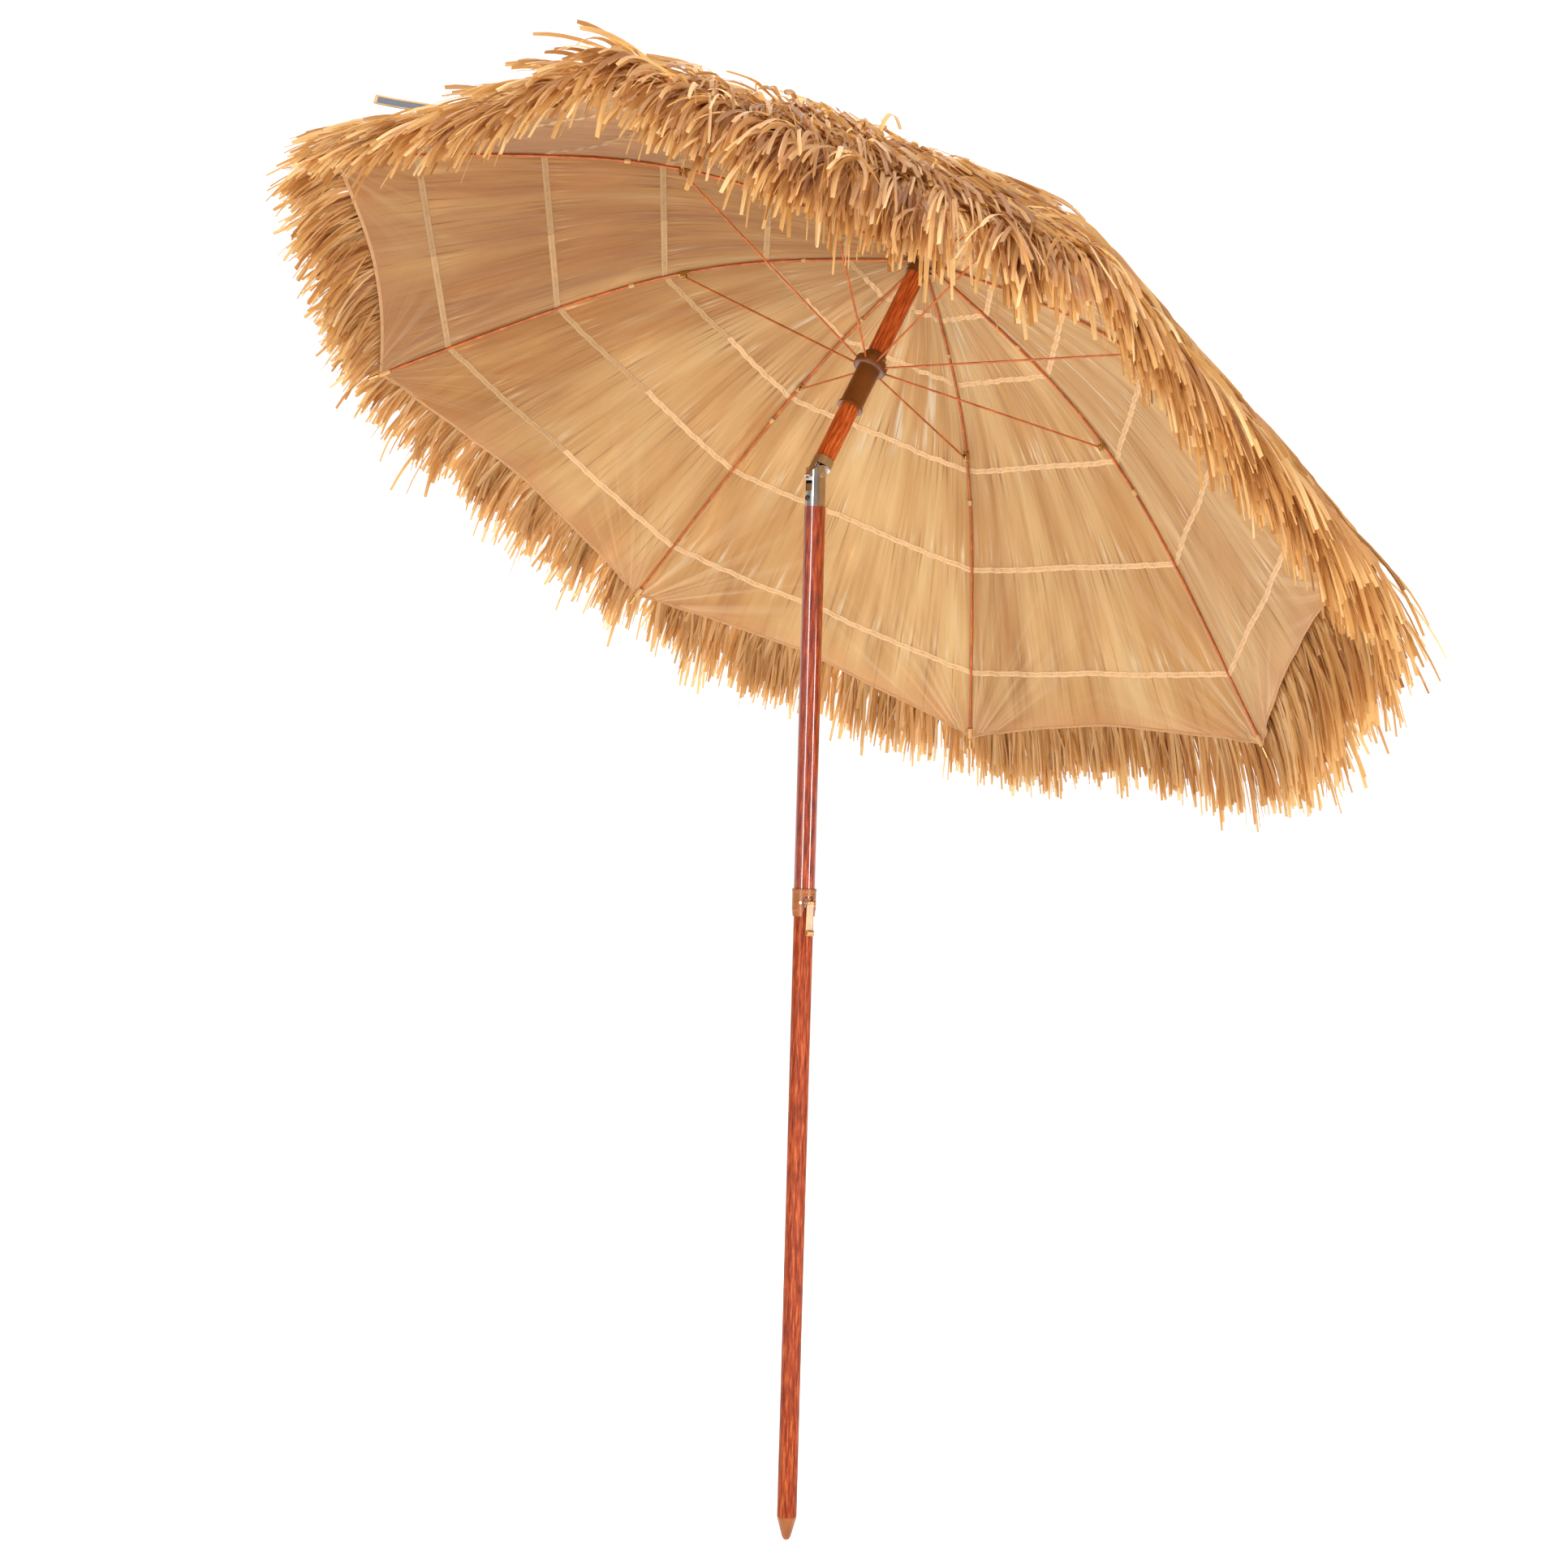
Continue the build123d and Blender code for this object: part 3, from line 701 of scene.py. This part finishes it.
def make_ties(index):
    """Short loops of cloth sewn over the rib, and the pocket that holds its tip."""
    azimuth = RIB_AZIMUTHS[index]
    turn = np.linspace(0, 2 * np.pi, TIE_SIDES + 1)[:-1]
    along = np.linspace(-0.5, 0.5, TIE_ROWS)[:, None]
    bulge = 1 + 0.08 * np.cos(along * 5)
    start = np.arange(TIE_ROWS - 1)[:, None] * TIE_SIDES
    this = start + np.arange(TIE_SIDES)[None, :]
    following = start + (np.arange(TIE_SIDES)[None, :] + 1) % TIE_SIDES
    loop = np.stack([this, following, following + TIE_SIDES, this + TIE_SIDES], axis=-1).reshape(-1, 4)
    points, faces = [], []
    for centre, width, radius in TIES:
        s = np.broadcast_to(centre + along * width, (TIE_ROWS, TIE_SIDES))
        r, z = rib_line(s, radius * bulge * np.sin(turn)[None, :] * 1.12 + 0.0003)
        side = radius * bulge * np.cos(turn)[None, :]
        x = r * math.cos(azimuth) - side * math.sin(azimuth)
        y = r * math.sin(azimuth) + side * math.cos(azimuth)
        faces.append(loop + rows_in(points))
        points.append(np.stack([x, y, z], axis=-1).reshape(-1, 3))
    return add_mesh(f"ties_{index + 1}", to_row(np.concatenate(points)), np.concatenate(faces), BINDING)


# ---- thatch ----
# Each strip is bent in this many steps, and keeps this far off the cloth.
STEPS = 10
LEAST_GAP = 0.004
# How closely the strips are set along a row. The inner rows are set closer, and the first counts as wider.
STRANDS_PER_METRE = 1450
INNER_ROWS = 3
INNER_CLOSER = 1.35
LEAST_RADIUS = 0.06
# How far a row reaches past the next one's root, and the length of the outer fringe.
ROW_OVERLAP = 0.062
FRINGE_REACH = 0.216
# The strips lean and hang in tufts of this width, and a few of them stand up on their own.
TUFT_WIDTH = 0.011
STRAY_SHARE = 0.002
# Where round the canopy the outer fringe stands up in a hump, how broad the hump is and how steep.
HUMP_TURN = -2.77
HUMP_WIDTH = 0.11
HUMP_RAISE = 0.28
# Painted light: where round the canopy the outer fringe is made palest, and by how much.
FRINGE_LIT_TURN = 0.85
FRINGE_LIT_GAIN = 0.24


def surface_gap(points):
    """For canopy-frame points: height above the cloth, the panel's normal, and whether they are over it."""
    gore = 2 * HALF
    azimuth = np.arctan2(points[:, 1], points[:, 0])
    away = (azimuth - RIB_AZIMUTHS[0]) % gore
    away = np.minimum(away, gore - away)
    mid = np.round((azimuth - RIB_AZIMUTHS[0] - HALF) / gore) * gore + RIB_AZIMUTHS[0] + HALF
    radius = np.hypot(points[:, 0], points[:, 1]) / chord(away)
    s = np.interp(radius, LINE_R, LINE_S)
    slope = np.interp(s, LINE_S, LINE_SLOPE)
    height = (points[:, 2] - np.interp(radius, LINE_R, LINE_Z)) * np.cos(slope) - CLOTH_UP
    flat = np.arctan(np.tan(slope) / math.cos(HALF))
    normal = np.stack([np.sin(flat) * np.cos(mid), np.sin(flat) * np.sin(mid), np.cos(flat)], axis=1)
    return height, normal, s < cloth_end(away) + EDGE_MARGIN


def unit(vectors):
    """The vectors at a length of one."""
    return vectors / np.linalg.norm(vectors, axis=1, keepdims=True)


def grow(root, heading, lengths, lift, limp, curl):
    """The centrelines of many strips, bent by their own weight and held up by the cloth below them."""
    place, way = root.copy(), heading.copy()
    line = [place.copy()]
    side = np.cross(way, surface_gap(place)[1])
    step_length = (lengths / STEPS)[:, None]
    for step in range(STEPS):
        share = (step + 1) / STEPS
        way = way + DOWN * (limp * (0.35 + 0.65 * share))[:, None] * step_length
        way = way + side * (curl * math.sin(share * 5.0))[:, None] * step_length
        way = unit(way)
        place = place + way * step_length
        height, normal, over = surface_gap(place)
        floor = LEAST_GAP + lift * min(1.0, share * 1.6)
        low = over & (height < floor)
        push = np.where(low, floor - height, 0.0)[:, None]
        place = place + normal * push
        into = np.minimum(0, np.sum(way * normal, axis=1)) * low
        way = unit(way - normal * into[:, None] * 0.9)
        line.append(place.copy())
    return np.stack(line, axis=1)


def ribbons(lines, widths, twist, fold):
    """Folded ribbons along centrelines, three points across: their points, faces and UVs."""
    count, stations = lines.shape[:2]
    along = np.gradient(lines, axis=1)
    along /= np.linalg.norm(along, axis=2, keepdims=True)
    _, normal, _ = surface_gap(lines[:, 0])
    normal = np.broadcast_to(normal[:, None, :], lines.shape)
    side = np.cross(along, normal)
    side /= np.maximum(np.linalg.norm(side, axis=2, keepdims=True), 1e-6)
    face = np.cross(side, along)
    share = np.linspace(0, 1, stations)[None, :]
    angle = twist[:, 0:1] + twist[:, 1:2] * share
    across = side * np.cos(angle)[..., None] + face * np.sin(angle)[..., None]
    out = np.cross(across, along)
    taper = np.clip(0.75 + share * 1.2, 0, 1) * np.clip((1.16 - share) * 5.0, 0.6, 1)
    half = (widths[:, None] * 0.5 * taper)[..., None]
    ridge = half * fold[:, None, None]
    edges = [lines - across * half, lines + out * ridge, lines + across * half]
    points = np.stack(edges, axis=2).reshape(-1, 3)
    base = (np.arange(count) * stations * 3)[:, None, None]
    row = (np.arange(stations - 1) * 3)[None, :, None]
    column = np.arange(2)[None, None, :]
    i = base + row + column
    faces = np.stack([i, i + 1, i + 4, i + 3], axis=-1).reshape(-1, 4)
    u = np.broadcast_to(np.array([0.0, 0.5, 1.0])[None, None, :], (count, stations, 3))
    v = np.broadcast_to(share[..., None], (count, stations, 3))
    return points, faces, np.stack([u, v], axis=-1).reshape(-1, 2)


def bell(angle, centre, width):
    """One at a centre, falling off smoothly on both sides of it."""
    return np.exp(-(((angle - centre) / width) ** 2))


def fringe_trim(turn):
    """How the strips' length varies round the canopy, fitted to the outline in the photograph."""
    trim = 1 + 0.15 * np.cos(turn + 1.3) - 0.2 * bell(turn, 0.08, 0.4)
    return trim + 0.08 * bell(turn, -1.1, 0.25)


def make_row(azimuth, row):
    """One raffia row of one gore: points, faces, UVs, and each strip's tone, with painted light on the outer
    fringe, and its age.
    """
    s0 = RING_S[row]
    last = row == len(RING_S) - 1
    radius = max(float(np.interp(s0, LINE_S, LINE_R)), LEAST_RADIUS)
    closer = INNER_CLOSER if row < INNER_ROWS else 1.0
    count = int(2 * HALF * radius * STRANDS_PER_METRE * closer)
    reach = FRINGE_REACH if last else RING_S[row + 1] - s0 + ROW_OVERLAP
    off = RNG.uniform(-HALF, HALF, count)
    depth = RNG.uniform(0, 1, count) ** 1.3
    s = s0 + RNG.normal(0, 0.003, count)
    root_up = CLOTH_UP + 0.002 + 0.008 * depth
    root = panel_points(azimuth, off, s, root_up)
    out = unit(panel_points(azimuth, off, s + 0.02, root_up) - root)
    _, normal, _ = surface_gap(root)
    side = np.cross(normal, out)
    tuft = np.floor((off + HALF) * radius / TUFT_WIDTH).astype(int)
    tuft_skew = RNG.normal(0, 0.16, tuft.max() + 1)[tuft]
    tuft_length = RNG.normal(1.0, 0.07, tuft.max() + 1)[tuft]
    skew = tuft_skew + RNG.normal(0, 0.11, count)
    skew = skew + (RNG.random(count) < 0.12) * RNG.normal(0, 0.42, count)
    raise_by = (0.08 if last else 0.03) + 0.28 * depth + RNG.normal(0, 0.05, count)
    turn = azimuth + off
    if last:
        raise_by = raise_by + HUMP_RAISE * bell(turn, HUMP_TURN, HUMP_WIDTH)
    stray = RNG.random(count) < STRAY_SHARE
    raise_by = np.where(stray, RNG.uniform(0.35, 0.55, count), raise_by)
    heading = unit(out + side * skew[:, None] + normal * raise_by[:, None])
    spread = RNG.normal(1.0, 0.08, count).clip(0.6, 1.3)
    lengths = reach * tuft_length * fringe_trim(turn) * spread
    lift = 0.002 + 0.040 * depth
    if last:
        limp = RNG.uniform(3.5, 10.5, count)
    else:
        limp = RNG.uniform(5.0, 13.0, count) * np.where(stray, 0.35, 1.0)
    curl = RNG.normal(0, 0.7, count)
    curl = curl + (RNG.random(count) < 0.04) * RNG.normal(0, 6.0, count)
    lines = grow(root, heading, lengths, lift, limp, curl)
    widths = RNG.uniform(0.0028, 0.0076, count)
    twist = np.stack([RNG.normal(0, 0.5, count), RNG.normal(0, 0.9, count)], axis=1)
    fold = RNG.uniform(-0.3, 0.35, count)
    points, faces, uv = ribbons(lines, widths, twist, fold)
    # Painted light: the outer fringe is paler round one side of the canopy.
    fringe_lit = FRINGE_LIT_GAIN * np.maximum(np.cos(turn - FRINGE_LIT_TURN), 0) if last else 0.0
    tone = np.clip(RNG.beta(2.4, 2.2, count) + fringe_lit, 0, 1)
    strand = np.repeat(np.stack([tone, RNG.random(count)], axis=1), (STEPS + 1) * 3, axis=0)
    return points, faces, uv, strand


def make_thatch(index):
    """All the raffia rows of one gore."""
    rows = [make_row(RIB_AZIMUTHS[index], row) for row in range(len(RING_S))]
    points, faces, uvs, strands = zip(*rows)
    starts = np.cumsum([0] + [len(block) for block in points[:-1]])
    faces = np.concatenate([block + start for block, start in zip(faces, starts)])
    points, uv, strand = (np.concatenate(blocks) for blocks in (points, uvs, strands))
    name = f"thatch_{index + 1}"
    return add_mesh(name, to_row(points), faces, RAFFIA, uv=uv, extra_uv=strand, smooth=False)


for index in range(RIBS):
    k = index + 1
    body, joint = f"rib_arm_{k}", f"rib_hinge_{k}"
    cloth_piece = make_cloth(index)
    others = [make_tapes(index), make_ties(index), make_thatch(index)]
    for piece in (cloth_piece, *others):
        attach(piece, body)
    for piece in (cloth_piece, others[0], others[2]):
        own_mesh(piece)
    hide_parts(f"canopy_gore_{k}")
    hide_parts(f"thatch_gore_{k}")


# ---- tie strap: grey webbing bound with tan tape, lying on the thatch near rib 8 ----
STRAP_AZIMUTH = RIB_AZIMUTHS[7] + math.radians(11.0)
STRAP_FROM = RING_S[-1] + 0.004
STRAP_S = np.array([0.0, 0.02, 0.04, 0.06, 0.08, 0.095, 0.108, 0.112])
STRAP_UP = np.array([0.015, 0.017, 0.019, 0.021, 0.023, 0.025, 0.027, 0.028])
STRAP_ACROSS = np.array([-0.013, -0.0105, -0.0104, -0.005, 0.005, 0.0104, 0.0105, 0.013])
STRAP_BOUND = np.array([1, 1, 0, 0, 0, 1, 1])
BINDING_FROM = 0.0104
BINDING_THICK = 0.0012
STRAP_THICK = 0.0012
WIDTH_UP = 0.8
WIDTH_ROUND = 0.6


def make_strap():
    """A strip tipped on its side, so that its width runs partly up and partly round the canopy."""
    length, width = len(STRAP_S), len(STRAP_ACROSS)
    r, z = rib_line(STRAP_FROM + STRAP_S, STRAP_UP)
    r = np.repeat(r[:, None], width, 1)
    side = np.repeat(STRAP_ACROSS[None, :], length, 0)
    z = np.repeat(z[:, None], width, 1) + BINDING_THICK * (np.abs(side) > BINDING_FROM)
    z = z - WIDTH_UP * side
    x = r * math.cos(STRAP_AZIMUTH) - WIDTH_ROUND * side * math.sin(STRAP_AZIMUTH)
    y = r * math.sin(STRAP_AZIMUTH) + WIDTH_ROUND * side * math.cos(STRAP_AZIMUTH)
    points = to_row(np.stack([x, y, z], axis=-1).reshape(-1, 3))
    piece = add_mesh("strap", points, grid_faces(length, width), GREY)
    piece.data.materials.append(BINDING)
    bound = np.tile(STRAP_BOUND, length - 1)
    bound[-len(STRAP_BOUND):] = 1
    set_slots(piece, bound)
    thicken = piece.modifiers.new("thick", "SOLIDIFY")
    thicken.thickness = STRAP_THICK
    return piece


strap = make_strap()
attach(strap, "rib_arm_8")
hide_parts("tie_strap")


# ---- stage, light and camera: directions as the camera sees them, without its roll ----
VIEW_TURN = math.radians(40.58)
ROLL = math.radians(1.61)
EYE = Vector((-2.8162, -3.2338, 1.1094))
RIGHT = Vector((math.cos(VIEW_TURN), -math.sin(VIEW_TURN), 0.0))
AHEAD = Vector((math.sin(VIEW_TURN), math.cos(VIEW_TURN), 0.0))
UP = Vector((0.0, 0.0, 1.0))
CENTRE = Vector((0.1, 0.0, 1.5))
POLE = Vector((0.0, 0.0, 1.1))


def make_stage():
    """A white floor that sweeps up into a wall behind the umbrella."""
    floor_z = float(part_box("ground_spike")[0][2]) - 0.0005
    front, back, bend, top, half_width = -14.0, 7.0, 4.0, 14.0, 24.0
    turns = np.linspace(0.1, math.pi / 2, 14)
    profile = [(front, 0.0), (back, 0.0)]
    profile += [(back + bend * math.sin(a), bend - bend * math.cos(a)) for a in turns]
    profile += [(back + bend, top)]
    points = [(x, y, z + floor_z) for y, z in profile for x in (-half_width, half_width)]
    faces = grid_faces(len(profile), 2)
    sh = Shader("stage")
    sh.set(Base_Color=(0.93, 0.93, 0.92, 1.0), Roughness=0.9)
    sh.set(Emission_Color=(1.0, 1.0, 1.0, 1.0), Emission_Strength=0.42)
    sweep = add_mesh("stage_sweep", np.array(points), faces, sh.material)
    sweep.rotation_euler = (0, 0, -VIEW_TURN)


def area_light(name, place, target, size, power):
    """A square softbox at a place, facing a target."""
    data = bpy.data.lights.new(name, "AREA")
    data.energy = power
    data.size = size
    lamp = bpy.data.objects.new(name, data)
    lamp.location = place
    lamp.rotation_euler = (Vector(target) - Vector(place)).to_track_quat("-Z", "Y").to_euler()
    SCENE.collection.objects.link(lamp)
    return lamp


def strip_light(name, turn, power):
    """A tall narrow softbox facing the pole, turned round it from the camera's side by an angle."""
    way = -AHEAD * math.cos(turn) + RIGHT * math.sin(turn)
    lamp = area_light(name, POLE + way * 3.0, POLE, 0.42, power)
    lamp.data.shape = "RECTANGLE"
    lamp.data.size_y = 2.4


def make_lights():
    """Softboxes round the canopy, each with its place, its width in metres and its power."""
    area_light("key", CENTRE - AHEAD * 3.4 + RIGHT * 2.6 + UP * 2.2, CENTRE, 2.6, 42)
    area_light("fill", CENTRE - AHEAD * 4.2 - RIGHT * 3.2 - UP * 0.2, CENTRE, 3.0, 20)
    area_light("top", CENTRE + UP * 3.2 - AHEAD * 0.6, CENTRE, 3.4, 166)
    area_light("back", CENTRE + AHEAD * 3.0 + UP * 1.8 - RIGHT * 1.0, CENTRE, 2.5, 72)
    area_light("under", Vector((-0.6, -1.0, 0.15)), CENTRE, 1.8, 16)
    strip_light("right_strip", math.radians(50), 44)
    strip_light("left_strip", math.radians(-31), 34)


def make_world():
    """An even, faint white light from all round."""
    world = bpy.data.worlds.new("world")
    world.use_nodes = True
    background = world.node_tree.nodes["Background"]
    background.inputs[0].default_value = (1.0, 1.0, 1.0, 1.0)
    background.inputs[1].default_value = 0.42
    SCENE.world = world


def make_camera():
    """The camera, level but for a small roll, found by fitting the photograph's view."""
    data = bpy.data.cameras.new("camera")
    data.lens = 64.92
    data.sensor_width = 36.0
    camera = bpy.data.objects.new("camera", data)
    side = RIGHT * math.cos(ROLL) + UP * math.sin(ROLL)
    top = UP * math.cos(ROLL) - RIGHT * math.sin(ROLL)
    turn = Matrix((side, top, -AHEAD)).transposed()
    camera.matrix_world = Matrix.Translation(EYE) @ turn.to_4x4()
    SCENE.collection.objects.link(camera)
    SCENE.camera = camera


make_stage()
make_camera()
make_lights()
make_world()
SCENE.view_settings.view_transform = "Standard"
